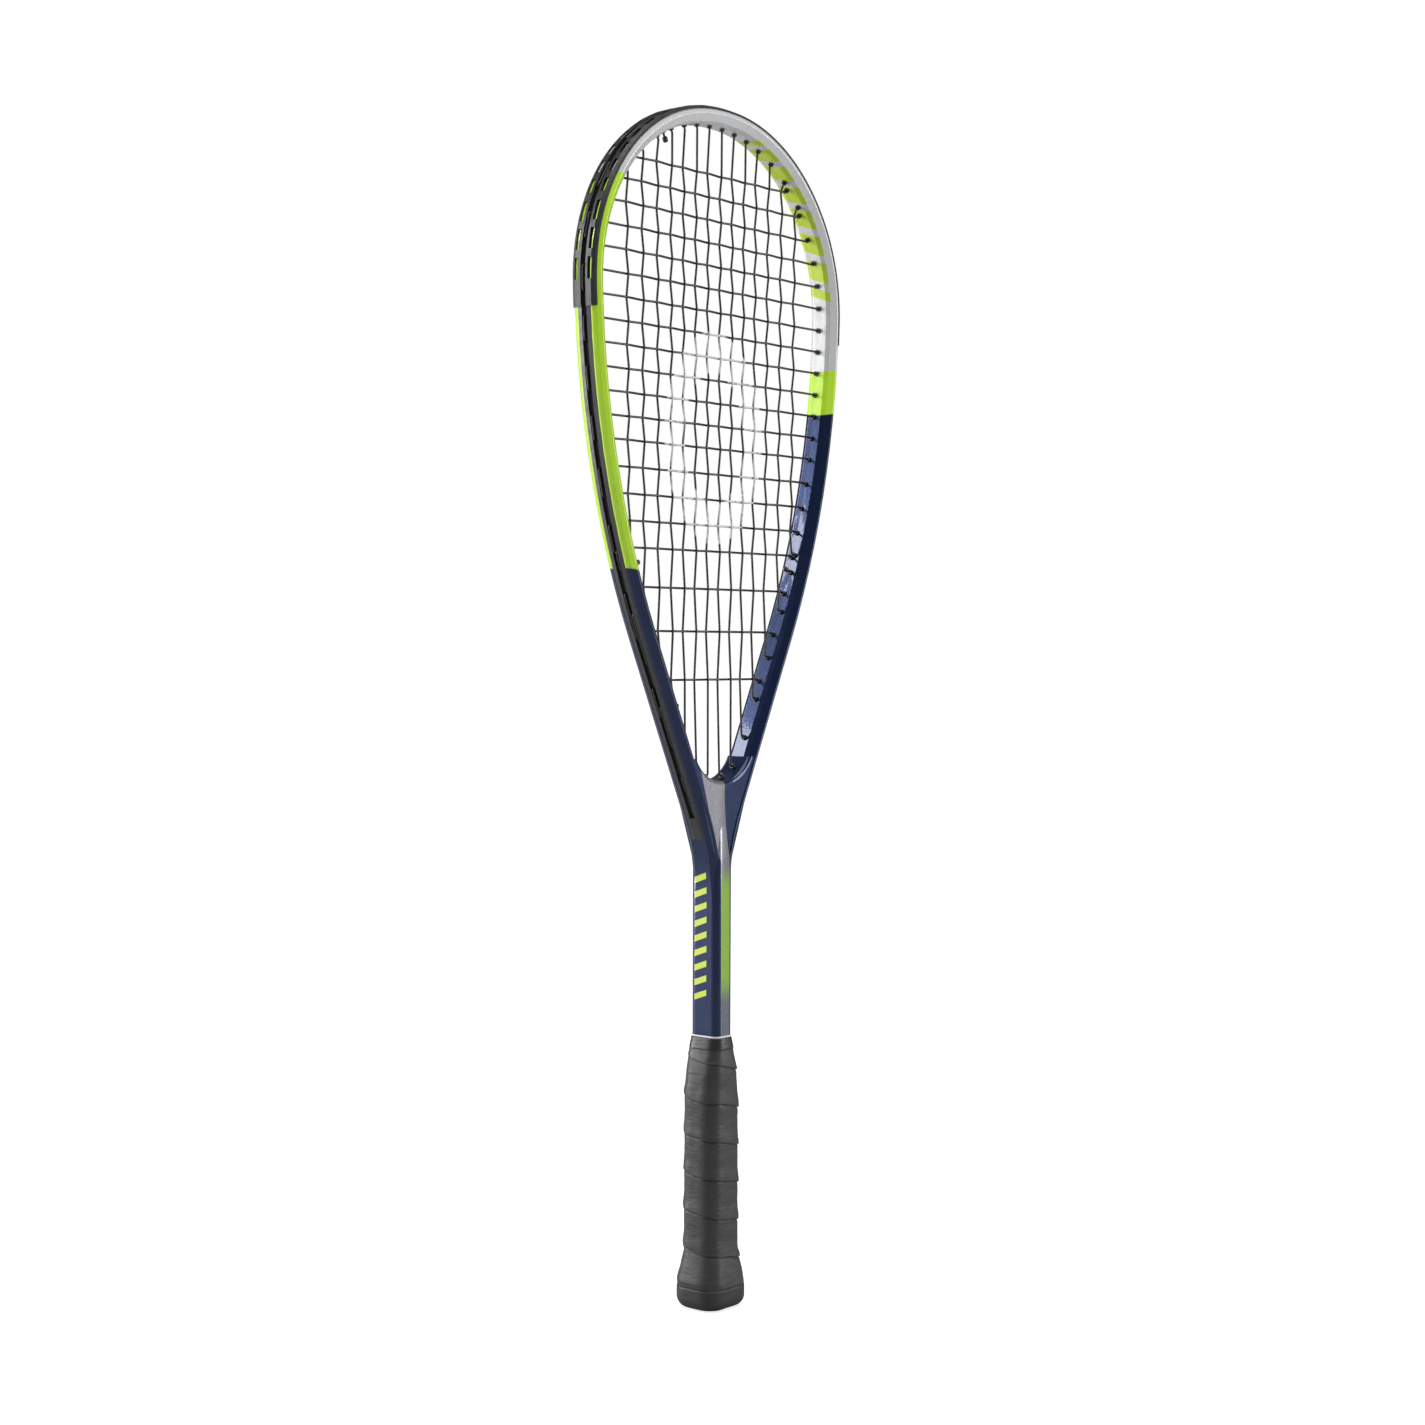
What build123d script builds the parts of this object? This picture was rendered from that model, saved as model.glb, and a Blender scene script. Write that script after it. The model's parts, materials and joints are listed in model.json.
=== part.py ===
from build123d import *
import os
from itertools import product
from math import asin, atan2, cos, degrees, hypot, pi, radians, sin, tan

# Squash racket, junior size. Millimetres, +Z along the racket, butt end at Z = 0,
# X across the face, Y square to the string bed. Turns are measured from straight up.

# Head outline: the tube's centre line on the right half, from the top down
CROWN_Z = 630.0
CROWN_RADIUS = 124.0
CROWN_TURN = radians(5.6)
SHOULDER_RADIUS = 93.5
SHOULDER_TURN = radians(91.4)
SIDE_RADIUS = 450.0
LEG_TURN = radians(114.8)
BLEND_RADIUS = 100.0
BLEND_TAIL = 5.0

# Tube section. The sections are half outlines: (across the face, out from the centre line)
TUBE_HALF_SECTION = ((4.2, -4.2), (6.3, -3.2), (9.0, 0.6), (7.4, 3.3), (5.2, 4.2))
TUBE_OUT = 4.2
EDGE_ROUND = 0.8
WALL = 1.3
BORE_WIDTH = 13.0
BORE_HEIGHT = 3.6
BORE_OUT = -0.9
GROOVE_WIDTH = 8.6
GROOVE_FLOOR = 2.4
GROOVE_HEIGHT = 6.0

# Throat and shaft
CROTCH_RADIUS = 24.2
CROTCH_ROUND = 2.5
WEB_HALF_DEPTH = 8.2
WEB_DROP = 11.9
SHAFT_WIDTH = 14.0
SHAFT_DEPTH = 19.0
SHAFT_ROUND = 4.0
SHAFT_BOTTOM = 12.0
SHAFT_TOP = 240.0
SHAFT_BORE_TOP = 236.0
SHAFT_FADE_Z = 266.0
SHAFT_FADE_WIDTH = 5.0
SHAFT_FADE_DEPTH = 15.0
SHAFT_TUBE_OFFSET = 2.8
PLUG_HEIGHT = 10.0

# Grommet strips and bumper guard, which share one channel for the strings
CHANNEL_FLOOR = 3.0
CHANNEL_HALF_WIDTH = 1.7
STRIP_HALF_WIDTH = 4.25
STRIP_BASE = 2.45
STRIP_HALF_SECTION = (
    (CHANNEL_HALF_WIDTH, CHANNEL_FLOOR),
    (CHANNEL_HALF_WIDTH, 4.6),
    (STRIP_HALF_WIDTH, 4.3),
    (STRIP_HALF_WIDTH, STRIP_BASE),
)
PAD_HALF_SECTION = ((2.4, 4.6), (STRIP_HALF_WIDTH, 4.3), (STRIP_HALF_WIDTH, STRIP_BASE))
BUMPER_HALF_WIDTH = 8.0
BUMPER_HALF_SECTION = (
    (CHANNEL_HALF_WIDTH, CHANNEL_FLOOR),
    (CHANNEL_HALF_WIDTH, 5.0),
    (5.4, 5.0),
    (7.6, 4.1),
    (BUMPER_HALF_WIDTH, 3.1),
    (7.62, 3.09),
    (7.46, 3.36),
    (5.2, 4.27),
    (STRIP_HALF_WIDTH, 4.27),
    (STRIP_HALF_WIDTH, STRIP_BASE),
)
BUMPER_END_TURN = radians(93.1)
BUMPER_END_ROUND = 7.5
PAD_END_Z = 251.0
BARREL_RADIUS = 1.4
BARREL_BORE = 0.85
BARREL_ROOT = 2.6
BARREL_TIP = -5.4
HOLE_RADIUS = 1.45
HOLE_SPARE = 1.0
WINDOWS_EACH_SIDE = 9
WINDOW_PITCH = radians(7.34)
WINDOW_LENGTH = 8.4
LONG_WINDOW_TURNS = (radians(70.9), radians(79.6), radians(88.3))
LONG_WINDOW_LENGTH = 11.0
WINDOW_WIDTH = 2.6
WINDOW_DEPTH = 6.0
WINDOW_TILT = radians(8)
WINDOW_ACROSS = 4.3
WINDOW_OUT = 4.4

# Strings
STRING_RADIUS = 0.6
MAIN_OFFSETS = (5.1, 15.1, 25.0, 35.0, 45.8, 57.5, 69.5)
MAIN_FAN = 0.0002
FAN_Z = 620.0
WAIST_Z = 450.0
ABOVE_HEAD_Z = 660.0
BELOW_CROTCH_Z = 262.0
BESIDE_HEAD_X = 110.0
FIRST_CROSS_Z = 600.6
CROSS_GAPS = (12.0,) * 12 + (13.6,) * 4 + (20.0, 22.5, 25.4)
WEAVE = 0.71
WEAVE_BEND = 6.0
MOUTH = -6.8
MOUTH_BEND = 1.6
MOUTH_CLEARANCE = 1.5
HOLE_STAGGER = 0.8
LOOP_OUT = 4.1
LOOP_BEND = 1.2
TAIL_BEND = 20.0
TAIL_OUT = 4.25
TAIL_END = -7.2
MAIN_TAIL_RUN = 10.0
FIRST_CROSS_TAIL_RUN = 27.0
LAST_CROSS_TAIL_RUN = 16.0
KNOT_RADIUS = 1.4
KNOT_LENGTH = 3.2
KNOT_ROUND = 1.0
BEND_SHARE = 0.45

# Handle. Each section is: (height, width across the face, depth, corner radius)
SEAM_Z = 12.0
WRAP_SECTIONS = (
    (SEAM_Z, 34.0, 30.9, 10.0),
    (20.0, 31.7, 28.7, 9.3),
    (30.0, 27.3, 24.7, 8.0),
    (112.0, 27.0, 24.5, 8.0),
    (126.0, 24.0, 24.0, 7.2),
    (138.3, 18.6, 22.0, 5.6),
)
TAPE_TOP_SECTION = (144.5, 15.6, 20.4, 4.8)
CORE_SECTIONS = WRAP_SECTIONS[:5]
COLLAR_SECTIONS = WRAP_SECTIONS[:2]
WRAP_THICK = 1.6
COLLAR_THICK = 1.5
EDGE_TAPE_HEIGHT = 0.8
EDGE_TAPE_THICK = 0.3
CAP_SECTION = (0.0, 34.4, 31.2, 10.2)
CAP_ROUND = 6.0
CAP_SOCKET_Z = 5.0

# Worked out from the above
crown_centre = (0.0, CROWN_Z - CROWN_RADIUS)
shoulder_centre = (
    crown_centre[0] + (CROWN_RADIUS - SHOULDER_RADIUS) * sin(CROWN_TURN),
    crown_centre[1] + (CROWN_RADIUS - SHOULDER_RADIUS) * cos(CROWN_TURN),
)
side_centre = (
    shoulder_centre[0] - (SIDE_RADIUS - SHOULDER_RADIUS) * sin(SHOULDER_TURN),
    shoulder_centre[1] - (SIDE_RADIUS - SHOULDER_RADIUS) * cos(SHOULDER_TURN),
)
leg_start = (
    side_centre[0] + SIDE_RADIUS * sin(LEG_TURN),
    side_centre[1] + SIDE_RADIUS * cos(LEG_TURN),
)
leg_slope = LEG_TURN - pi / 2
leg_foot_z = leg_start[1] - (leg_start[0] - SHAFT_TUBE_OFFSET) / tan(leg_slope)
blend_run = BLEND_RADIUS * tan(leg_slope / 2)
blend_end_z = leg_foot_z - blend_run
leg_end = (
    SHAFT_TUBE_OFFSET + blend_run * sin(leg_slope),
    leg_foot_z + blend_run * cos(leg_slope),
)
pad_turn = leg_slope - asin(sin(leg_slope) - (leg_end[1] - PAD_END_Z) / BLEND_RADIUS)
inner_foot_z = leg_foot_z - (SHAFT_TUBE_OFFSET - TUBE_OUT / cos(leg_slope)) / tan(leg_slope)
crotch_z = inner_foot_z + CROTCH_RADIUS / sin(leg_slope)
cross_heights = [FIRST_CROSS_Z - sum(CROSS_GAPS[:k]) for k in range(len(CROSS_GAPS) + 1)]
main_offsets = [-x for x in reversed(MAIN_OFFSETS)] + list(MAIN_OFFSETS)
upright = Align.CENTER, Align.CENTER, Align.MIN


# ---------------------------------------------------------------- places round the head
def leg_out(x, z):
    """Distance out from the straight leg's centre line."""
    return (x - leg_start[0]) * sin(LEG_TURN) + (z - leg_start[1]) * cos(LEG_TURN)


def tube_place(x, z):
    """Distance out from the tube's centre line, and the turn of the outward direction."""
    x = abs(x)
    arcs = (
        (crown_centre, CROWN_RADIUS, CROWN_TURN),
        (shoulder_centre, SHOULDER_RADIUS, SHOULDER_TURN),
        (side_centre, SIDE_RADIUS, LEG_TURN),
    )
    for centre, radius, last_turn in arcs:
        turn = atan2(x - centre[0], z - centre[1])
        if turn <= last_turn:
            return hypot(x - centre[0], z - centre[1]) - radius, turn
    if atan2(x, z - crotch_z) > LEG_TURN:
        return hypot(x, z - crotch_z) - CROTCH_RADIUS - TUBE_OUT, LEG_TURN
    return leg_out(x, z), LEG_TURN


def main_x(offset, z):
    """Sideways place of a main string, which leans in a little towards the throat."""
    return offset * (1 - MAIN_FAN * (FAN_Z - z))


def hole_at(x, y, z):
    """A string hole whose axis, square to the tube, passes through a point in the head."""
    turn = tube_place(x, z)[1]
    side = 1 if x > 0 else -1
    if turn == LEG_TURN:
        out = leg_out(abs(x), z)
    else:
        out = tube_place(x, z)[0]
    return {
        "mouth": Vector(x, y, z),
        "outward": Vector(side * sin(turn), 0, cos(turn)),
        "out": out,
        "side": side,
        "turn": turn,
    }


def string_hole(inside, outside, stagger):
    """The hole that a string leaves the head by, found along its line through the wall."""
    low = 0.0
    high = 1.0
    for _ in range(50):
        middle = (low + high) / 2
        x = inside[0] + (outside[0] - inside[0]) * middle
        z = inside[1] + (outside[1] - inside[1]) * middle
        if tube_place(x, z)[0] < MOUTH:
            low = middle
        else:
            high = middle
    return hole_at(x, stagger, z)


def further_hole(hole, run):
    """A hole a short run further round the head than another."""
    x = hole["mouth"].X + run * hole["side"] * cos(hole["turn"])
    z = hole["mouth"].Z - run * sin(hole["turn"])
    mouth = along(hole_at(x, hole["mouth"].Y, z), MOUTH)
    return hole_at(mouth.X, mouth.Y, mouth.Z)


def along(hole, out):
    """A point on a hole's axis, a stated distance out from the tube's centre line."""
    return hole["mouth"] + hole["outward"] * (out - hole["out"])


def tip_out(hole):
    """How far out a barrel's inner tip is: short of the string's bend at the mouth."""
    return hole["out"] + BARREL_TIP - MOUTH


def hole_plane(hole, out):
    """A plane square to a hole's axis, facing out."""
    return Plane(origin=along(hole, out), x_dir=(0, 1, 0), z_dir=hole["outward"])


main_tops = []
main_bottoms = []
for offset in main_offsets:
    waist = (main_x(offset, WAIST_Z), WAIST_Z)
    above = (main_x(offset, ABOVE_HEAD_Z), ABOVE_HEAD_Z)
    below = (main_x(offset, BELOW_CROTCH_Z), BELOW_CROTCH_Z)
    main_tops.append(string_hole(waist, above, -HOLE_STAGGER))
    main_bottoms.append(string_hole(waist, below, -HOLE_STAGGER))
cross_lefts = [string_hole((0, z), (-BESIDE_HEAD_X, z), HOLE_STAGGER) for z in cross_heights]
cross_rights = [string_hole((0, z), (BESIDE_HEAD_X, z), HOLE_STAGGER) for z in cross_heights]

# Loose ends run on round the frame to a tie-off hole of their own
first_cross_tie = further_hole(cross_lefts[0], -FIRST_CROSS_TAIL_RUN)
last_cross_tie = further_hole(cross_lefts[-1], LAST_CROSS_TAIL_RUN)
first_main_tie = further_hole(main_bottoms[0], MAIN_TAIL_RUN)
last_main_tie = further_hole(main_bottoms[-1], MAIN_TAIL_RUN)
tie_offs = [first_cross_tie, last_cross_tie, first_main_tie, last_main_tie]
holes = main_tops + main_bottoms + cross_lefts + cross_rights + tie_offs

# ---------------------------------------------------------------- outlines and paths
section_plane = Plane(origin=(0, 0, CROWN_Z), x_dir=(0, 1, 0), z_dir=(1, 0, 0))

with BuildLine(Plane.XZ) as crown_path:
    crown = JernArc((0, CROWN_Z), (1, 0), CROWN_RADIUS, -degrees(CROWN_TURN))
    shoulder = JernArc(
        crown @ 1, crown % 1, SHOULDER_RADIUS, -degrees(SHOULDER_TURN - CROWN_TURN)
    )
    bumper_end = JernArc(
        shoulder @ 1, shoulder % 1, SIDE_RADIUS, -degrees(BUMPER_END_TURN - SHOULDER_TURN)
    )

with BuildLine(Plane.XZ) as leg_path:
    side = JernArc(
        bumper_end @ 1, bumper_end % 1, SIDE_RADIUS, -degrees(LEG_TURN - BUMPER_END_TURN)
    )
    leg = Line(side @ 1, leg_end)

with BuildLine(Plane.XZ) as pad_path:
    pad_arc = JernArc(leg @ 1, leg % 1, BLEND_RADIUS, degrees(pad_turn))

with BuildLine(Plane.XZ) as blend_path:
    blend = JernArc(leg @ 1, leg % 1, BLEND_RADIUS, degrees(leg_slope))
    Line(blend @ 1, (SHAFT_TUBE_OFFSET, blend_end_z - BLEND_TAIL))

tube_wire = Wire(crown_path.edges() + leg_path.edges() + blend_path.edges())
groove_wire = Wire(crown_path.edges() + leg_path.edges() + pad_path.edges())
strip_plane = Plane(origin=leg_path.wire() @ 0, x_dir=(0, 1, 0), z_dir=leg_path.wire() % 0)
pad_plane = Plane(origin=pad_arc @ 0, x_dir=(0, 1, 0), z_dir=pad_arc % 0)


def half_section(points):
    """A closed outline from the points of its +Y half."""
    other_half = [(-y, out) for y, out in reversed(points)]
    Polygon(*points, *other_half, align=None)


def handle_section(section, inset=0.0):
    """A rounded handle outline at its height, or the same outline set in."""
    height, width, depth, corner = section
    with BuildSketch(Plane.XY.offset(height)) as outline:
        RectangleRounded(width - 2 * inset, depth - 2 * inset, corner - inset)
    return outline.sketch


def handle_skin(sections, inset, mode=Mode.ADD):
    """The solid inside a handle skin, through its sections at successive heights."""
    for low, high in zip(sections, sections[1:]):
        loft([handle_section(low, inset), handle_section(high, inset)], mode=mode)


def barrel_set(barrels, radius, top_out, spare=0.0):
    """Round pins on the axes of string holes, from the barrels' inner tips outwards."""
    with BuildPart() as pins:
        for barrel in barrels:
            low_out = tip_out(barrel) - spare
            with Locations(hole_plane(barrel, low_out)):
                Cylinder(radius, top_out - low_out, align=upright)
    return pins.part


def keep(piece, name):
    """Label a finished piece and write it."""
    piece.label = name
    export_step(piece, f"parts/{name}.step")


os.makedirs("parts", exist_ok=True)

# ---------------------------------------------------------------- frame
with BuildPart() as web:
    web_x = leg_start[0] - (leg_start[1] - crotch_z + WEB_DROP) * tan(leg_slope)
    with BuildSketch(Plane.XZ):
        with BuildLine():
            Polyline(
                (0, blend_end_z), (web_x, crotch_z - WEB_DROP), (-web_x, crotch_z - WEB_DROP),
                close=True,
            )
        make_face()
        with Locations((0, crotch_z)):
            Circle(CROTCH_RADIUS, mode=Mode.SUBTRACT)
    extrude(amount=WEB_HALF_DEPTH, both=True)
    fillet(web.edges().filter_by(GeomType.CIRCLE), CROTCH_ROUND)

with BuildPart() as groove:
    with BuildSketch(section_plane):
        with Locations((0, GROOVE_FLOOR)):
            Rectangle(GROOVE_WIDTH, GROOVE_HEIGHT, align=(Align.CENTER, Align.MIN))
    sweep(path=groove_wire)
    mirror(about=Plane.YZ)

with BuildPart() as bore:
    with BuildSketch(section_plane):
        with Locations((0, BORE_OUT)):
            SlotOverall(BORE_WIDTH, BORE_HEIGHT)
    sweep(path=tube_wire)
    mirror(about=Plane.YZ)
    with BuildSketch(Plane.XY.offset(SHAFT_BOTTOM)):
        RectangleRounded(SHAFT_WIDTH - 2 * WALL, SHAFT_DEPTH - 2 * WALL, SHAFT_ROUND - WALL)
    extrude(amount=SHAFT_BORE_TOP - SHAFT_BOTTOM)

with BuildPart() as frame:
    with BuildSketch(section_plane) as tube_section:
        half_section(TUBE_HALF_SECTION)
        fillet(tube_section.vertices(), EDGE_ROUND)
    sweep(path=tube_wire)
    mirror(about=Plane.YZ)
    with BuildSketch(Plane.XY.offset(SHAFT_BOTTOM)):
        RectangleRounded(SHAFT_WIDTH, SHAFT_DEPTH, SHAFT_ROUND)
    extrude(amount=SHAFT_TOP - SHAFT_BOTTOM)
    with BuildSketch(Plane.XY.offset(SHAFT_TOP)):
        RectangleRounded(SHAFT_WIDTH, SHAFT_DEPTH, SHAFT_ROUND)
    with BuildSketch(Plane.XY.offset(SHAFT_FADE_Z)):
        RectangleRounded(SHAFT_FADE_WIDTH, SHAFT_FADE_DEPTH, SHAFT_FADE_WIDTH / 3)
    loft()
    add(web.part)
    add(bore.part, mode=Mode.SUBTRACT)
    add(groove.part, mode=Mode.SUBTRACT)
    add(barrel_set(holes, HOLE_RADIUS, STRIP_BASE + HOLE_SPARE, HOLE_SPARE), mode=Mode.SUBTRACT)
keep(frame.part, "frame")

with BuildPart() as shaft_plug:
    with BuildSketch(Plane.XY.offset(SHAFT_BOTTOM)):
        RectangleRounded(SHAFT_WIDTH - 2 * WALL, SHAFT_DEPTH - 2 * WALL, SHAFT_ROUND - WALL)
    extrude(amount=PLUG_HEIGHT)
keep(shaft_plug.part, "shaft_plug")

# ---------------------------------------------------------------- bumper guard
bumper_holes = [hole for hole in holes if hole["turn"] < BUMPER_END_TURN]
strip_holes = [hole for hole in holes if hole["turn"] >= BUMPER_END_TURN]



def window_planes(turns):
    """The middles of the windows at these turns, on both sides and in both rows."""
    planes = []
    for side_sign, row_sign, turn in product((-1, 1), (-1, 1), turns):
        outward = Vector(side_sign * sin(turn), 0, cos(turn))
        across = Vector(0, row_sign, 0)
        middle = Vector(side_sign * shoulder_centre[0], 0, shoulder_centre[1])
        place = Plane(
            origin=middle + across * WINDOW_ACROSS + outward * (SHOULDER_RADIUS + WINDOW_OUT),
            x_dir=Vector(cos(turn), 0, -side_sign * sin(turn)),
            z_dir=outward * cos(WINDOW_TILT) + across * sin(WINDOW_TILT),
        )
        planes.append(place)
    return planes


window_turns = [(step + 0.5) * WINDOW_PITCH for step in range(WINDOWS_EACH_SIDE)]

with BuildPart() as bumper_guard:
    with BuildSketch(section_plane):
        half_section(BUMPER_HALF_SECTION)
    sweep(path=crown_path.wire())
    mirror(about=Plane.YZ)
    with BuildSketch(Plane.YZ):
        with Locations((0, (bumper_end @ 1).Z)):
            Rectangle(3 * BUMPER_HALF_WIDTH, 2 * BUMPER_END_ROUND)
            with Locations((0, 2 * BUMPER_END_ROUND)):
                RectangleRounded(
                    2 * BUMPER_HALF_WIDTH, 4 * BUMPER_END_ROUND, BUMPER_END_ROUND,
                    mode=Mode.SUBTRACT,
                )
    extrude(amount=BESIDE_HEAD_X, both=True, mode=Mode.SUBTRACT)
    add(barrel_set(bumper_holes, BARREL_RADIUS, BARREL_ROOT))
    add(
        barrel_set(bumper_holes, BARREL_BORE, CHANNEL_FLOOR + HOLE_SPARE, HOLE_SPARE),
        mode=Mode.SUBTRACT,
    )
    with Locations(*window_planes(window_turns)):
        Box(WINDOW_LENGTH, WINDOW_WIDTH, WINDOW_DEPTH, mode=Mode.SUBTRACT)
    with Locations(*window_planes(LONG_WINDOW_TURNS)):
        Box(LONG_WINDOW_LENGTH, WINDOW_WIDTH, WINDOW_DEPTH, mode=Mode.SUBTRACT)
keep(bumper_guard.part, "bumper_guard")

# ---------------------------------------------------------------- grommet strips
for side_sign, name in ((-1, "left"), (1, "right")):
    with BuildPart() as strip_body:
        with BuildSketch(strip_plane):
            half_section(STRIP_HALF_SECTION)
        sweep(path=leg_path.wire())
        with BuildSketch(pad_plane):
            half_section(PAD_HALF_SECTION)
        sweep(path=pad_path.wire())
    own_holes = [hole for hole in strip_holes if hole["side"] == side_sign]
    with BuildPart() as grommet_strip:
        add(strip_body.part if side_sign > 0 else strip_body.part.mirror(Plane.YZ))
        add(barrel_set(own_holes, BARREL_RADIUS, BARREL_ROOT))
        add(
            barrel_set(own_holes, BARREL_BORE, CHANNEL_FLOOR + HOLE_SPARE, HOLE_SPARE),
            mode=Mode.SUBTRACT,
        )
    keep(grommet_strip.part, f"grommet_strip_{name}")


# ---------------------------------------------------------------- strings
def crossing_sign(main, cross):
    """Which side of the bed a main string passes a cross on."""
    return -1 if (main + cross) % 2 else 1


def crosses_here(main, cross):
    """Whether a main and a cross meet inside the head, clear of both strings' ends."""
    z = cross_heights[cross]
    x = main_x(main_offsets[main], z)
    below_top = z < main_tops[main]["mouth"].Z - MOUTH_CLEARANCE
    above_bottom = z > main_bottoms[main]["mouth"].Z + MOUTH_CLEARANCE
    within = abs(x) < cross_rights[cross]["mouth"].X - MOUTH_CLEARANCE
    return below_top and above_bottom and within


def string_end(hole, partner, tie):
    """Points and bends from a string's outer end in to its hole's mouth.

    The end is half of the loop to a partner hole, or a tail through a tie-off hole.
    """
    corner = along(hole, LOOP_OUT)
    if partner:
        halfway = (corner + along(partner, LOOP_OUT)) / 2
        return [halfway, corner, hole["mouth"]], [LOOP_BEND, MOUTH_BEND]
    tie_corner = along(tie, LOOP_OUT)
    tie_end = along(tie, tie["out"] + TAIL_END - MOUTH)
    between = (along(hole, TAIL_OUT) + along(tie, TAIL_OUT)) / 2
    bulge = tube_place(between.X, between.Z)[0]
    middle = hole_at(between.X, between.Y, between.Z)
    between = between + middle["outward"] * (TAIL_OUT - bulge)
    points = [tie_end, tie_corner, between, corner, hole["mouth"]]
    return points, [LOOP_BEND, TAIL_BEND, LOOP_BEND, MOUTH_BEND]


def bend_radii(points, wanted):
    """Bend radii along a path, each no larger than its two runs leave room for."""
    radii = []
    for before, point, after, radius in zip(points, points[1:], points[2:], wanted):
        run_in = point - before
        run_out = after - point
        half_turn = radians(run_in.get_angle(run_out)) / 2
        room = BEND_SHARE * min(run_in.length, run_out.length) / tan(half_turn)
        radii.append(min(radius, room))
    return radii


def string_route(start, crossings, finish):
    """The whole route of one string: outer end, woven run and other outer end."""
    start_points, start_bends = start
    finish_points, finish_bends = finish
    points = start_points + crossings + finish_points[::-1]
    wanted = start_bends + [WEAVE_BEND] * len(crossings) + finish_bends[::-1]
    return points, bend_radii(points, wanted)


def keep_string(route, name):
    """Sweep one string along its route, check its volume and write it."""
    points, radii = route
    with BuildPart() as string:
        with BuildLine() as path:
            FilletPolyline(*points, radius=radii)
        with BuildSketch(Plane(origin=path.wire() @ 0, z_dir=path.wire() % 0)):
            Circle(STRING_RADIUS)
        sweep(path=path.wire())
    ideal = pi * STRING_RADIUS**2 * path.wire().length
    print(f"{name}: length {path.wire().length:.1f}, volume {string.part.volume / ideal:.4f} of ideal")
    keep(string.part, name)


def partner_of(number, first_pair, ends):
    """The hole that a string's loop runs to, when loops pair the holes from first_pair on."""
    pair = number + 1 if (number - first_pair) % 2 == 0 else number - 1
    return ends[pair] if 0 <= pair < len(ends) else None


for main, offset in enumerate(main_offsets):
    woven = []
    for cross, z in enumerate(cross_heights):
        if crosses_here(main, cross):
            woven.append(Vector(main_x(offset, z), crossing_sign(main, cross) * WEAVE, z))
    tie = first_main_tie if main == 0 else last_main_tie
    top = string_end(main_tops[main], partner_of(main, 0, main_tops), None)
    bottom = string_end(main_bottoms[main], partner_of(main, 1, main_bottoms), tie)
    keep_string(string_route(top, woven, bottom), f"main_string_{main + 1:02d}")

for cross, z in enumerate(cross_heights):
    woven = []
    for main, offset in enumerate(main_offsets):
        if crosses_here(main, cross):
            woven.append(Vector(main_x(offset, z), -crossing_sign(main, cross) * WEAVE, z))
    tie = first_cross_tie if cross == 0 else last_cross_tie
    left = string_end(cross_lefts[cross], partner_of(cross, 1, cross_lefts), tie)
    right = string_end(cross_rights[cross], partner_of(cross, 0, cross_rights), None)
    keep_string(string_route(left, woven, right), f"cross_string_{cross + 1:02d}")

with BuildPart() as tie_off_knots:
    for tie in tie_offs:
        inward = Plane(
            origin=along(tie, tie["out"] + TAIL_END - MOUTH), z_dir=-tie["outward"]
        )
        with Locations(inward):
            Cylinder(KNOT_RADIUS, KNOT_LENGTH, align=upright)
    fillet(tie_off_knots.edges().filter_by(GeomType.CIRCLE), KNOT_ROUND)
keep(tie_off_knots.part, "tie_off_knots")

# ---------------------------------------------------------------- handle
tape_top_z = TAPE_TOP_SECTION[0]
liner_inset = WRAP_THICK + COLLAR_THICK

with BuildPart() as shaft_end:
    with BuildSketch(Plane.XY.offset(SHAFT_BOTTOM)):
        RectangleRounded(SHAFT_WIDTH, SHAFT_DEPTH, SHAFT_ROUND)
    extrude(amount=SHAFT_TOP - SHAFT_BOTTOM)

with BuildPart() as grip_wrap:
    handle_skin(WRAP_SECTIONS, 0)
    handle_skin(CORE_SECTIONS, WRAP_THICK, Mode.SUBTRACT)
    add(shaft_end.part, mode=Mode.SUBTRACT)
keep(grip_wrap.part, "grip_wrap")

with BuildPart() as finishing_tape:
    loft([handle_section(WRAP_SECTIONS[-1]), handle_section(TAPE_TOP_SECTION)])
    add(shaft_end.part, mode=Mode.SUBTRACT)
keep(finishing_tape.part, "finishing_tape")

with BuildPart() as edge_tape:
    with BuildSketch(Plane.XY.offset(tape_top_z)):
        RectangleRounded(
            SHAFT_WIDTH + 2 * EDGE_TAPE_THICK,
            SHAFT_DEPTH + 2 * EDGE_TAPE_THICK,
            SHAFT_ROUND + EDGE_TAPE_THICK,
        )
    extrude(amount=EDGE_TAPE_HEIGHT)
    add(shaft_end.part, mode=Mode.SUBTRACT)
keep(edge_tape.part, "edge_tape")

with BuildPart() as pallet_foot:
    extrude(handle_section(WRAP_SECTIONS[0], liner_inset), amount=CAP_SOCKET_Z - SEAM_Z)

with BuildPart() as handle_pallet:
    add(pallet_foot.part)
    handle_skin(COLLAR_SECTIONS, liner_inset)
    handle_skin(CORE_SECTIONS[1:], WRAP_THICK)
    add(shaft_end.part, mode=Mode.SUBTRACT)
keep(handle_pallet.part, "handle_pallet")

with BuildPart() as butt_cap:
    extrude(handle_section(CAP_SECTION), amount=SEAM_Z)
    fillet(butt_cap.edges().group_by(Axis.Z)[0], CAP_ROUND)
    handle_skin(COLLAR_SECTIONS, WRAP_THICK)
    add(pallet_foot.part, mode=Mode.SUBTRACT)
    handle_skin(COLLAR_SECTIONS, liner_inset, Mode.SUBTRACT)
keep(butt_cap.part, "butt_cap")
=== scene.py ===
import json
import math

import bmesh
import bpy
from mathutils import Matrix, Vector, noise


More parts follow.
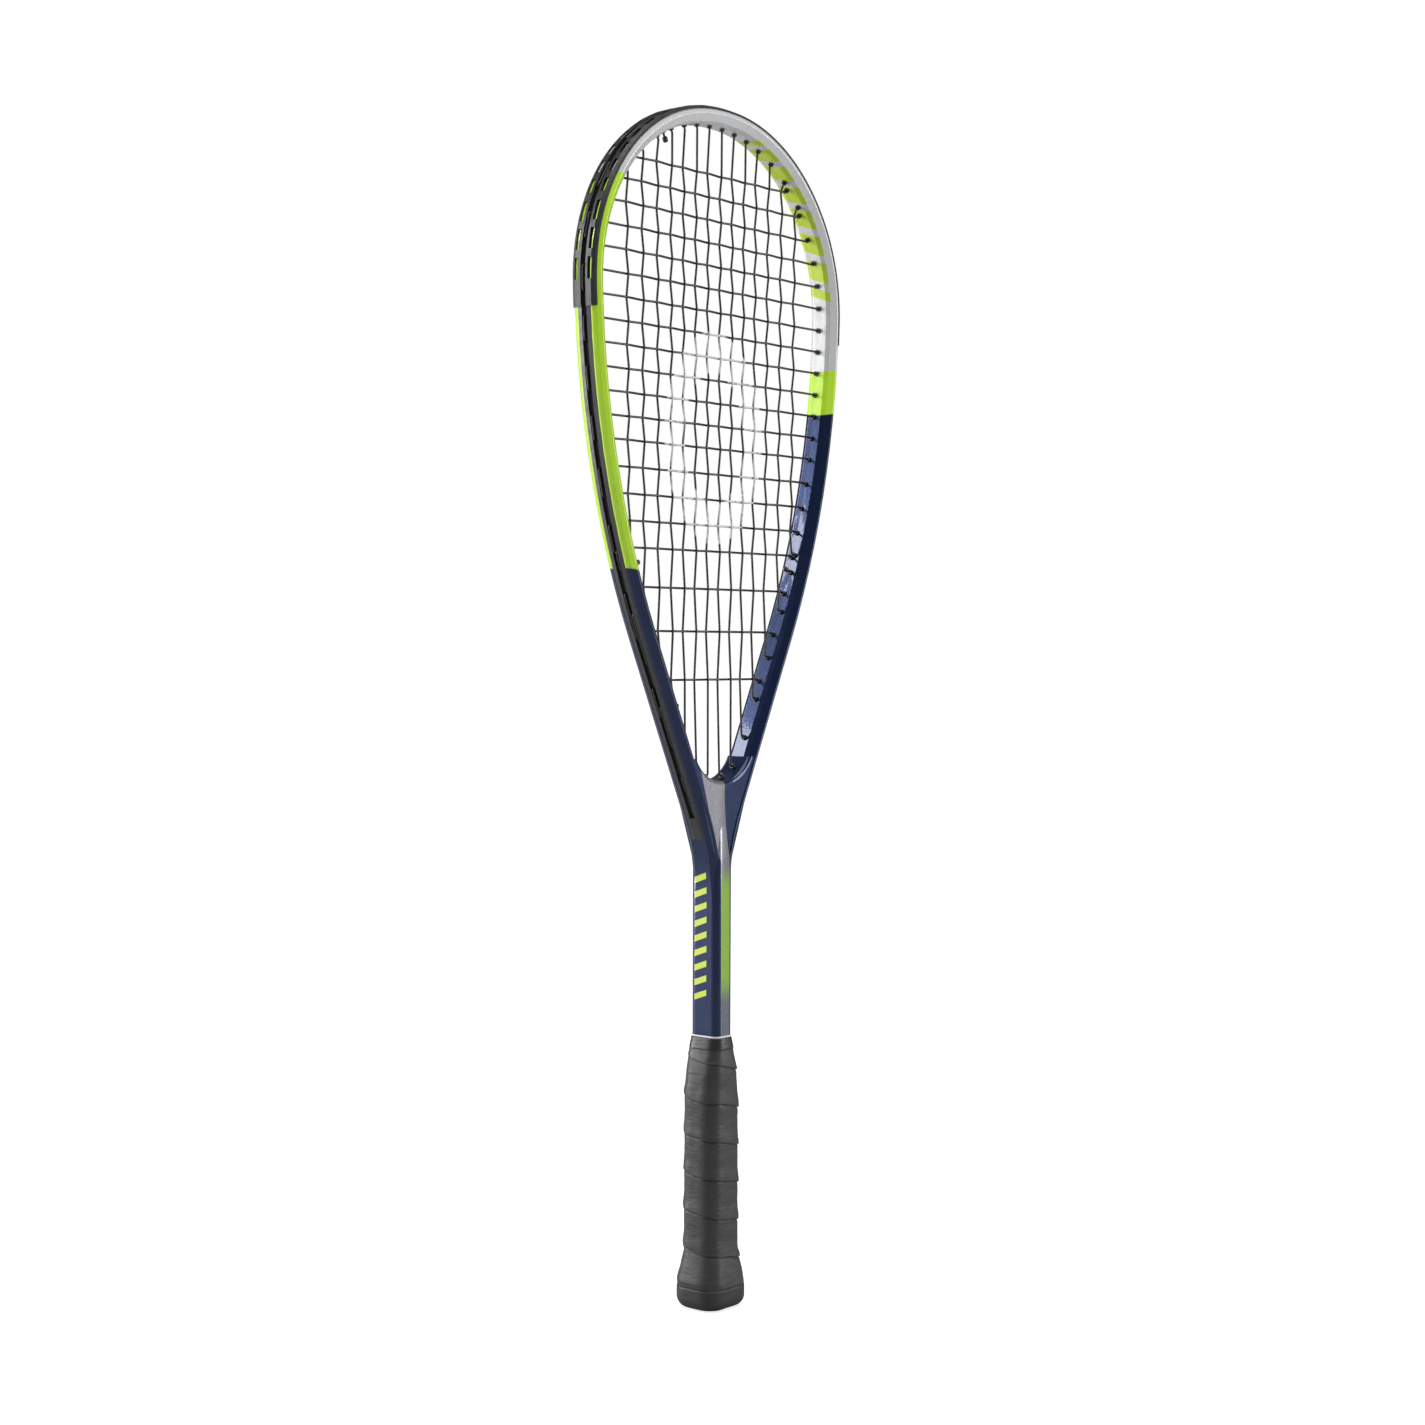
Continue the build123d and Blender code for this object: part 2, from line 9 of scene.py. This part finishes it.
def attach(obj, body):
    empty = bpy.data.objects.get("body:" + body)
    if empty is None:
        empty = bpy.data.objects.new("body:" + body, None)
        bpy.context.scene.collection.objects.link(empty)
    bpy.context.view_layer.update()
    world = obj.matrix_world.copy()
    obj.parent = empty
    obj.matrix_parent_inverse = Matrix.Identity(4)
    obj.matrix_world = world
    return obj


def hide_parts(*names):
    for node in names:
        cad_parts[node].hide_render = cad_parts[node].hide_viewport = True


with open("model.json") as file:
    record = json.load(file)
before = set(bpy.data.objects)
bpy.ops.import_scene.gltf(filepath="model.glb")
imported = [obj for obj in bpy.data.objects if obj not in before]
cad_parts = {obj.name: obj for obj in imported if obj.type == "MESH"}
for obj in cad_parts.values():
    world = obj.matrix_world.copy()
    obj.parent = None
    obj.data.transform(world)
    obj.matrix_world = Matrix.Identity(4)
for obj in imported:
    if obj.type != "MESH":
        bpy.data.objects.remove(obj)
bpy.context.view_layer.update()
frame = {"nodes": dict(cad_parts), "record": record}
nodes = frame["nodes"]
MM = 0.001


# ---------------------------------------------------------------- material helpers
class Graph:
    """A material's node tree, with short calls for the nodes used here."""

    def __init__(self, name):
        self.material = bpy.data.materials.new(name)
        self.material.use_nodes = True
        self.tree = self.material.node_tree
        self.shader = self.tree.nodes["Principled BSDF"]
        self.place = self.add("ShaderNodeTexCoord").outputs["Object"]
        split = self.add("ShaderNodeSeparateXYZ", {0: self.place})
        self.x, self.y, self.z = split.outputs[0], split.outputs[1], split.outputs[2]

    def add(self, kind, inputs=None, **settings):
        node = self.tree.nodes.new(kind)
        for key, value in settings.items():
            setattr(node, key, value)
        for key, value in (inputs or {}).items():
            self.feed(node.inputs[key], value)
        return node

    def feed(self, socket, value):
        if isinstance(value, bpy.types.NodeSocket):
            self.tree.links.new(value, socket)
        elif isinstance(value, (tuple, list)) and len(value) == 3 and socket.type == "RGBA":
            socket.default_value = (*value, 1.0)
        else:
            socket.default_value = value

    def math(self, operation, a, b=0.0, clamp=False):
        node = self.add("ShaderNodeMath", {0: a, 1: b}, operation=operation)
        node.use_clamp = clamp
        return node.outputs[0]

    def chain(self, operation, first, *others):
        """The same sum carried out over several values."""
        for other in others:
            first = self.math(operation, first, other)
        return first

    def times(self, *values):
        return self.chain("MULTIPLY", *values)

    def plus(self, a, b):
        return self.math("ADD", a, b)

    def minus(self, a, b):
        return self.math("SUBTRACT", a, b)

    def most(self, *values):
        return self.chain("MAXIMUM", *values)

    def ramp(self, value, low, high):
        """0 below low, 1 above high, smooth between."""
        node = self.add(
            "ShaderNodeMapRange",
            {"Value": value, "From Min": low, "From Max": high},
            interpolation_type="SMOOTHSTEP",
        )
        return node.outputs[0]

    def mix(self, share, a, b):
        node = self.add("ShaderNodeMix", data_type="RGBA")
        self.feed(node.inputs["Factor"], share)
        self.feed(node.inputs[6], a)
        self.feed(node.inputs[7], b)
        return node.outputs[2]

    def noise(self, scale, detail=4.0, roughness=0.55, stretch=(1, 1, 1)):
        place = self.place
        if stretch != (1, 1, 1):
            place = self.add("ShaderNodeMapping", {"Vector": self.place, "Scale": stretch}).outputs[0]
        node = self.add(
            "ShaderNodeTexNoise",
            {"Vector": place, "Scale": scale, "Detail": detail, "Roughness": roughness},
        )
        return node.outputs["Fac"]

    def bump(self, height, strength, distance, after=None):
        inputs = {"Height": height, "Strength": strength, "Distance": distance}
        node = self.add("ShaderNodeBump", inputs)
        if after:
            self.feed(node.inputs["Normal"], after)
        return node.outputs[0]

    def set(self, **values):
        names = {
            "color": "Base Color", "metallic": "Metallic", "roughness": "Roughness",
            "normal": "Normal", "coat": "Coat Weight", "coat_roughness": "Coat Roughness",
            "coat_normal": "Coat Normal", "specular": "Specular IOR Level",
        }
        for key, value in values.items():
            self.feed(self.shader.inputs[names[key]], value)
        return self.material


# Places on the racket, in metres
JOIN_TILT = 0.16
JOIN_MIDDLE = 0.085
JOIN_SOFT = 0.0004
LEFT_NAVY_TOP = 0.3930
LEFT_LIME_TOP = 0.5890
RIGHT_NAVY_TOP = 0.4805
RIGHT_LIME_TOP = 0.5045
SHOULDER_X, SHOULDER_Z, SHOULDER_RADIUS = 0.00298, 0.53635, 0.0935
HOOP_MARK_PITCH = 0.172
HOOP_MARKS = (0.26, 1.46)
SHAFT_MARK_PITCH = 0.00779
SHAFT_MARKS = (0.166, 0.2345)
STRIPE_HALF_WIDTH = 0.0035
STRIPE_TOP = 0.237
PANEL_TOP = 0.300
PANEL_SPREAD = 0.31
PANEL_DRAW = 0.09
RING_CENTRE_Z = 0.462
RING_HALF_WIDTH = 0.040
RING_HALF_HEIGHT = 0.056

# Paints
HOOP_MARK_PAINT = (0.50, 0.66, 0.03)
SHAFT_MARK_PAINT = (0.62, 0.74, 0.07)
STRIPE_GREEN = (0.22, 0.42, 0.02)
STRIPE_GREY = (0.13, 0.135, 0.16)
# lit and shaded copies of the throat panel's silver: painted light and shade standing in for the crease
# down the web
PANEL_PAINTED_LIT = (0.25, 0.25, 0.275)
PANEL_PAINTED_SHADE = (0.15, 0.15, 0.17)
METAL_EVERYWHERE = 0.12
METAL_IN_NAVY = 0.43


def between(g, value, low, high, soft):
    """1 between two values, with soft ends."""
    rising = g.ramp(value, low - soft, low + soft)
    falling = g.ramp(value, high + soft, high - soft)
    return g.times(rising, falling)


def dashes(g, value, pitch, share):
    """A row of plain bars along a coordinate."""
    part = g.math("FRACT", g.math("DIVIDE", value, pitch))
    return between(g, part, 0.5 - share / 2, 0.5 + share / 2, 0.02)


def distance(g, a, b):
    """How far a point is from the origin of two coordinates."""
    return g.math("SQRT", g.plus(g.times(a, a), g.times(b, b)))


def hoop_marks(g, reach, right):
    """Plain dashes round the inside of the head on the right."""
    across = g.minus(reach, SHOULDER_X)
    up = g.minus(g.z, SHOULDER_Z)
    inner = g.ramp(g.minus(distance(g, across, up), SHOULDER_RADIUS), -0.0026, -0.0032)
    slanted = g.plus(g.math("ARCTAN2", across, up), g.times(g.y, 4.0))
    row = g.times(dashes(g, slanted, HOOP_MARK_PITCH, 0.72), between(g, slanted, *HOOP_MARKS, 0.004))
    return g.times(row, inner, right)


def shaft_marks(g, reach):
    """Plain dashes down the shaft's sides."""
    side = g.ramp(reach, 0.0064, 0.0067)
    leaning = g.plus(g.z, g.times(g.y, 0.35))
    row = g.times(between(g, leaning, *SHAFT_MARKS, 0.0001), dashes(g, leaning, SHAFT_MARK_PITCH, 0.42))
    return g.times(row, between(g, g.y, -0.0022, 0.0060, 0.0001), side)


def face_panel(g):
    """The throat panel and stripe on the two faces: where they are, and across them, which also places
    the painted light and shade across the panel.
    """
    on_face = g.ramp(g.math("ABSOLUTE", g.y), 0.0056, 0.0062)
    rise = g.most(g.minus(g.z, STRIPE_TOP), 0.0)
    half_width = g.plus(STRIPE_HALF_WIDTH, g.times(rise, PANEL_SPREAD))
    far_side = g.minus(STRIPE_HALF_WIDTH, g.times(rise, PANEL_DRAW))
    facing = g.times(g.x, g.math("SIGN", g.times(g.y, -1.0)))
    left_edge = g.ramp(g.plus(half_width, facing), -0.0002, 0.0003)
    right_edge = g.ramp(g.minus(far_side, facing), -0.0002, 0.0003)
    inside = g.times(left_edge, right_edge)
    return g.times(on_face, inside, g.ramp(g.z, PANEL_TOP + 0.002, PANEL_TOP - 0.002)), facing


def lacquer():
    """The hoop's and shaft's clear-lacquered colours, which change along the racket."""
    g = Graph("lacquer")
    left = g.ramp(g.x, 0.001, -0.001)
    right = g.minus(1.0, left)
    reach = g.math("ABSOLUTE", g.x)
    # colour joins run squarely across each leg
    tilted = g.minus(g.z, g.times(g.minus(reach, JOIN_MIDDLE), JOIN_TILT))
    line = g.plus(tilted, g.times(g.minus(g.noise(60, 2), 0.5), JOIN_SOFT))
    left_navy, left_lime, right_lime, right_navy = [
        g.times(side, g.ramp(line, top + JOIN_SOFT, top - JOIN_SOFT))
        for side, top in (
            (left, LEFT_NAVY_TOP), (left, LEFT_LIME_TOP),
            (right, RIGHT_LIME_TOP), (right, RIGHT_NAVY_TOP),
        )
    ]
    fine = g.noise(9000, 2, 0.7)
    silver = g.mix(fine, (0.62, 0.625, 0.64), (0.69, 0.695, 0.71))
    lime = g.mix(g.noise(45, 3), (0.46, 0.78, 0.030), (0.56, 0.87, 0.048))
    navy = g.mix(fine, (0.003, 0.011, 0.050), (0.008, 0.024, 0.092))
    colour = g.mix(left_lime, silver, lime)
    colour = g.mix(left_navy, colour, navy)
    colour = g.mix(right_lime, colour, lime)
    colour = g.mix(right_navy, colour, navy)
    # marks, stripe and throat panel over them
    marks = hoop_marks(g, reach, right)
    colour = g.mix(marks, colour, HOOP_MARK_PAINT)
    column = shaft_marks(g, reach)
    colour = g.mix(column, colour, SHAFT_MARK_PAINT)
    panel, facing = face_panel(g)
    green = g.times(g.ramp(g.z, 0.161, 0.178), g.ramp(g.z, 0.238, 0.222))
    # painted light and shade: the panel's silver is lighter on the left of the web and darker on the
    # right, in place of the lit and shaded sides of its crease
    panel_painted_shade = g.mix(g.ramp(facing, -0.004, 0.003), PANEL_PAINTED_LIT, PANEL_PAINTED_SHADE)
    stripe = g.mix(g.ramp(g.z, 0.222, 0.245), STRIPE_GREY, panel_painted_shade)
    stripe = g.mix(green, stripe, STRIPE_GREEN)
    colour = g.mix(panel, colour, stripe)
    # the silver and navy paints have metal flake in them, and the lime has none
    plain = g.most(
        g.minus(left_lime, left_navy), g.minus(right_lime, right_navy),
        g.times(panel, green), marks, column,
    )
    metal = g.plus(METAL_EVERYWHERE, g.times(g.most(left_navy, right_navy), METAL_IN_NAVY))
    metal = g.times(metal, g.math("SUBTRACT", 1.0, plain, clamp=True))
    scuffs = g.ramp(g.noise(220, 5, 0.6, (1, 1, 0.35)), 0.4, 0.75)
    peel = g.bump(g.noise(420, 2), 0.04, 0.0002)
    return g.set(
        color=colour, metallic=metal, roughness=g.plus(0.27, g.times(scuffs, 0.07)),
        coat=0.5, coat_roughness=g.plus(0.03, g.times(scuffs, 0.05)),
        normal=peel, coat_normal=peel, specular=0.4,
    )


def moulded(name, dark, light, roughness, grain):
    """Satin moulded nylon with fine grain and a little wear."""
    g = Graph(name)
    cloud = g.noise(90, 4)
    speck = g.noise(2600, 2, 0.7)
    colour = g.mix(cloud, dark, light)
    rough = g.plus(roughness, g.times(g.ramp(g.noise(300, 4), 0.35, 0.7), 0.14))
    bump = g.bump(speck, 0.16, grain)
    return g.set(color=colour, roughness=rough, normal=bump, specular=0.5)


def string_coat():
    """Dark string: brownish black with a thin gloss and a fine twist."""
    g = Graph("string")
    cloud = g.noise(140, 3)
    colour = g.mix(cloud, (0.010, 0.008, 0.007), (0.032, 0.024, 0.021))
    # a plain pale ring, inked on the near side of the strings only
    ring_x = g.math("DIVIDE", g.x, RING_HALF_WIDTH)
    ring_z = g.math("DIVIDE", g.minus(g.z, RING_CENTRE_Z), RING_HALF_HEIGHT)
    worn = g.ramp(g.noise(420, 4), 0.36, 0.5)
    on_ring = between(g, distance(g, ring_x, ring_z), 0.62, 1.0, 0.012)
    inked = g.times(on_ring, g.ramp(g.y, 0.0002, -0.0001))
    cover = g.times(inked, g.plus(0.55, g.times(worn, 0.45)))
    colour = g.mix(cover, colour, (0.62, 0.63, 0.62))
    twist = g.noise(1500, 3, 0.6, (1, 1, 0.5))
    bump = g.bump(twist, 0.2, 0.0001)
    rough = g.plus(0.28, g.times(cloud, 0.16))
    return g.set(color=colour, roughness=rough, normal=bump, specular=0.5)


def grip_rubber(name, dark, light, roughness):
    """Polyurethane grip: matt, with pores, pulled creases and slightly shiny high spots."""
    g = Graph(name)
    cloud = g.noise(70, 5)
    worn = g.ramp(g.noise(160, 4), 0.4, 0.72)
    colour = g.mix(cloud, dark, light)
    creases = g.noise(120, 6, 0.62, (1, 1, 6))
    pores = g.noise(3200, 2, 0.65)
    first = g.bump(creases, 0.22, 0.0006)
    bump = g.bump(pores, 0.2, 0.00008, after=first)
    rough = g.minus(roughness, g.times(worn, 0.12))
    return g.set(color=colour, roughness=rough, normal=bump, specular=0.45)


def foam():
    g = Graph("core_foam")
    colour = g.mix(g.noise(500, 4), (0.42, 0.39, 0.33), (0.6, 0.57, 0.5))
    return g.set(color=colour, roughness=0.8, normal=g.bump(g.noise(900, 3), 0.3, 0.0003))


def white_edge():
    g = Graph("pale_tape")
    colour = g.mix(g.noise(400, 3), (0.74, 0.74, 0.73), (0.86, 0.86, 0.85))
    return g.set(color=colour, roughness=0.45, normal=g.bump(g.noise(1200, 2), 0.1, 0.0001))


looks = {
    "lacquer": lacquer(),
    "guard_nylon": moulded("guard_nylon", (0.012, 0.012, 0.014), (0.030, 0.030, 0.034), 0.36, 0.00006),
    "strip_nylon": moulded("strip_nylon", (0.014, 0.014, 0.017), (0.034, 0.034, 0.040), 0.40, 0.00006),
    "string": string_coat(),
    "core_foam": foam(),
    "grip": grip_rubber("grip", (0.025, 0.025, 0.027), (0.042, 0.042, 0.045), 0.54),
    "tape": grip_rubber("tape", (0.012, 0.012, 0.013), (0.024, 0.024, 0.026), 0.42),
    "pale_tape": white_edge(),
    "cap_rubber": grip_rubber("cap_rubber", (0.016, 0.016, 0.018), (0.036, 0.036, 0.039), 0.55),
}
slots = {entry["node"]: entry["material_slot"] for entry in frame["record"]["subparts"]}
for name, node in nodes.items():
    node.data.materials.clear()
    node.data.materials.append(looks[slots[name]])


# ---------------------------------------------------------------- handle surfaces
# Rounded outlines at each height, in mm: (height, half width, half depth, corner radius)
WRAP = (
    (12.0, 17.0, 15.45, 10.0), (20.0, 15.85, 14.35, 9.3), (30.0, 13.65, 12.35, 8.0),
    (112.0, 13.5, 12.25, 8.0), (126.0, 12.0, 12.0, 7.2), (138.3, 9.3, 11.0, 5.6),
)
CAP = ((0.0, 17.2, 15.6, 10.2), (12.0, 17.2, 15.6, 10.2))
TAPE = ((138.3, 9.4, 11.1, 5.7), (144.5, 7.8, 10.2, 4.8))
SEAM_PITCH = 20.2
SEAM_START = 21.4
SEAM_SWAY = 1.4
SWAY_TURN = math.radians(220)
SEAM_LIFT = 0.62
SEAM_GROOVE = 0.34
OVERLAP = 9.0
SIDE_POWER = 13
CORNER_SHARE = 0.965
CAP_ROUND = 6.0
WRAP_FOOT = 11.2
WRAP_HEAD = 138.6
TAPE_FOOT = 138.2
TAPE_HEIGHT = 6.2


def section_at(sections, z):
    """The outline at a height, eased between the listed ones."""
    if z <= sections[0][0]:
        return sections[0][1:]
    for low, high in zip(sections, sections[1:]):
        if z <= high[0]:
            t = (z - low[0]) / (high[0] - low[0])
            return [a + (b - a) * t for a, b in zip(low[1:], high[1:])]
    return sections[-1][1:]


def outline_point(section, turn):
    """A point of a softly eight-sided outline and its outward direction."""
    half_x, half_y, corner = section
    c, s = math.cos(turn), math.sin(turn)
    root = math.sqrt(2)
    corner_reach = CORNER_SHARE * ((half_x + half_y - 2 * corner) / root + corner)
    sides = (
        (c, half_x), (s, half_y), ((c + s) / root, corner_reach), ((c - s) / root, corner_reach),
    )
    total = sum(abs(share / side) ** SIDE_POWER for share, side in sides)
    reach = total ** (-1 / SIDE_POWER)
    return reach * c, reach * s, c, s


def smooth_step(value, low, high):
    t = min(max((value - low) / (high - low), 0.0), 1.0)
    return t * t * (3 - 2 * t)


def wrap_relief(turn, z):
    """How far the wrap stands out at a place, from its overlaps and pulled creases."""
    around = turn / (2 * math.pi)
    sway = SEAM_SWAY * math.sin(turn - SWAY_TURN)
    place = Vector((math.cos(turn) * 1.5, math.sin(turn) * 1.5, z * 0.16))
    wander = 0.9 * noise.noise(place * 0.8)
    phase = (z + SEAM_PITCH * around - sway - SEAM_START + wander) % SEAM_PITCH
    lift = SEAM_LIFT * smooth_step(phase, 0.0, 0.5) * (1 - smooth_step(phase, 1.2, OVERLAP))
    from_seam = min(phase, SEAM_PITCH - phase)
    groove = -SEAM_GROOVE * math.exp(-((from_seam / 0.45) ** 2))
    pull = noise.noise(place * 1.7) * 0.14
    place.z *= 5.0
    on_ridge = math.sin(2 * turn) ** 4
    crease = noise.noise(place * 1.6) * (0.05 + 0.30 * on_ridge * math.exp(-phase / 3.5))
    return lift + groove + pull + crease


def skin(name, sections, z_list, around, relief):
    """A closed sleeve mesh through outlines at many heights."""
    mesh = bpy.data.meshes.new(name)
    bm = bmesh.new()
    rings = []
    for z in z_list:
        section = section_at(sections, z)
        ring = []
        for k in range(around):
            turn = 2 * math.pi * k / around
            x, y, c, s = outline_point(section, turn)
            out = relief(turn, z)
            ring.append(bm.verts.new(((x + out * c) * MM, (y + out * s) * MM, z * MM)))
        rings.append(ring)
    for low, high in zip(rings, rings[1:]):
        for k in range(around):
            j = (k + 1) % around
            bm.faces.new((low[k], low[j], high[j], high[k]))
    for ring, flip in ((rings[0], True), (rings[-1], False)):
        bm.faces.new(ring[::-1] if flip else ring)
    bm.to_mesh(mesh)
    bm.free()
    for polygon in mesh.polygons:
        polygon.use_smooth = len(polygon.vertices) == 4
    piece = bpy.data.objects.new(name, mesh)
    bpy.context.scene.collection.objects.link(piece)
    return piece


def finish_piece(piece, look, *replaced):
    piece.data.materials.append(looks[look])
    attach(piece, "root")
    if replaced:
        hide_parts(*replaced)


FINE = 360
LAYERS = 640
heights = [WRAP_FOOT + (WRAP_HEAD - WRAP_FOOT) * k / LAYERS for k in range(LAYERS + 1)]


def wrap_out(turn, z):
    """The wrap's relief, calmed at both ends, tucked in at its foot and full over the collar."""
    fade = smooth_step(z, 12.0, 16.0) * (1 - 0.7 * smooth_step(z, 126.0, 138.0))
    tuck = -0.5 * (1 - smooth_step(z, WRAP_FOOT, 12.6))
    flare = 0.175 * math.exp(-(((z - 16.0) / 3.5) ** 2)) * (1 + math.sin(turn * 2 + 1))
    return wrap_relief(turn, z) * fade + tuck + flare


wrap = skin("grip_wrap_spiral", WRAP, heights, FINE, wrap_out)
finish_piece(wrap, "grip", "grip_wrap")


def cap_out(turn, z):
    """The cap's rounded lower edge, with a small lip under the wrap."""
    rounding = 0.0
    if z < CAP_ROUND:
        rounding = CAP_ROUND - math.sqrt(max(CAP_ROUND**2 - (CAP_ROUND - z) ** 2, 0.0))
    lip = -0.9 * smooth_step(z, 11.0, 12.2)
    dent = 0.12 * noise.noise(Vector((math.cos(turn) * 2, math.sin(turn) * 2, z * 0.2)))
    return lip + dent * smooth_step(z, 1.0, 4.0) - rounding


cap_heights = [CAP_ROUND * (1 - math.cos(math.pi / 2 * k / 24)) for k in range(25)]
cap_heights += [CAP_ROUND + 6.4 * k / 16 for k in range(1, 17)]
cap = skin("butt_cap_shell", CAP, cap_heights, FINE, cap_out)
finish_piece(cap, "cap_rubber", "butt_cap")


def tape_out(turn, z):
    """The finishing tape's slight ripples, with both edges pressed down."""
    ripple = 0.10 * noise.noise(Vector((math.cos(turn) * 1.4, math.sin(turn) * 1.4, z * 0.7)))
    end = -0.15 * smooth_step(z, 144.0, 144.5) - 0.12 * (1 - smooth_step(z, 138.3, 138.8))
    return 0.25 + ripple + end


tape_heights = [TAPE_FOOT + TAPE_HEIGHT * k / 30 for k in range(31)]
tape = skin("finishing_tape_band", TAPE, tape_heights, FINE, tape_out)
finish_piece(tape, "tape", "finishing_tape")

# ---------------------------------------------------------------- studio
FLOOR_REACH = 40
floor_mesh = bpy.data.meshes.new("studio_floor")
floor_corners = [(x * FLOOR_REACH, y * FLOOR_REACH, 0) for x, y in ((-1, -1), (1, -1), (1, 1), (-1, 1))]
floor_mesh.from_pydata(floor_corners, [], [(0, 1, 2, 3)])
floor = bpy.data.objects.new("studio_floor", floor_mesh)
bpy.context.scene.collection.objects.link(floor)
paper = bpy.data.materials.new("studio_paper")
paper.use_nodes = True
paper_shader = paper.node_tree.nodes["Principled BSDF"]
paper_shader.inputs["Base Color"].default_value = (0.40, 0.40, 0.40, 1)
paper_shader.inputs["Roughness"].default_value = 0.9
paper_shader.inputs["Emission Color"].default_value = (1, 1, 1, 1)
paper_path = paper.node_tree.nodes.new("ShaderNodeLightPath")
paper_glow = paper.node_tree.nodes.new("ShaderNodeMath")
paper_glow.operation = "MULTIPLY"
paper_glow.inputs[1].default_value = 0.75
paper.node_tree.links.new(paper_path.outputs["Is Camera Ray"], paper_glow.inputs[0])
paper.node_tree.links.new(paper_glow.outputs[0], paper_shader.inputs["Emission Strength"])
floor_mesh.materials.append(paper)

world = bpy.data.worlds.new("studio")
bpy.context.scene.world = world
world.use_nodes = True
light_path = world.node_tree.nodes.new("ShaderNodeLightPath")
brightness = world.node_tree.nodes.new("ShaderNodeMapRange")
brightness.inputs["To Min"].default_value = 0.12
brightness.inputs["To Max"].default_value = 1.0
background = world.node_tree.nodes["Background"]
background.inputs["Color"].default_value = (1, 1, 1, 1)
world.node_tree.links.new(light_path.outputs["Is Camera Ray"], brightness.inputs["Value"])
world.node_tree.links.new(brightness.outputs["Result"], background.inputs["Strength"])


def soft_light(name, place, size, power, target=(0, 0, 0.36)):
    data = bpy.data.lights.new(name, "AREA")
    data.shape = "RECTANGLE"
    data.size, data.size_y = size
    data.energy = power
    lamp = bpy.data.objects.new(name, data)
    lamp.location = place
    lamp.rotation_euler = (Vector(target) - Vector(place)).to_track_quat("-Z", "Y").to_euler()
    bpy.context.scene.collection.objects.link(lamp)


soft_light("left_strip", (-1.146, 1.70, 0.7), (0.7, 1.9), 60)
soft_light("right_strip", (1.146, -1.70, 0.8), (0.7, 1.8), 29)
sun_data = bpy.data.lights.new("overhead", "SUN")
sun_data.energy = 2.2
sun_data.angle = math.radians(60)
sun = bpy.data.objects.new("overhead", sun_data)
sun.rotation_euler = (math.radians(12), math.radians(-8), 0)
bpy.context.scene.collection.objects.link(sun)

# ---------------------------------------------------------------- camera
ANGLE = math.radians(50)
DISTANCE = 1.2575
EYE = 0.350
camera_data = bpy.data.cameras.new("camera")
camera_data.lens = 59.8
camera_data.sensor_width = 36
camera_data.dof.use_dof = False
camera = bpy.data.objects.new("camera", camera_data)
camera.location = (-DISTANCE * math.sin(ANGLE), -DISTANCE * math.cos(ANGLE), EYE)
aim = Vector((0, 0, 0.3168)) - camera.location
camera.rotation_euler = aim.to_track_quat("-Z", "Y").to_euler()
camera.rotation_euler.rotate_axis("Z", math.radians(0.2))
bpy.context.scene.collection.objects.link(camera)
bpy.context.scene.camera = camera
bpy.context.scene.view_settings.view_transform = "Standard"
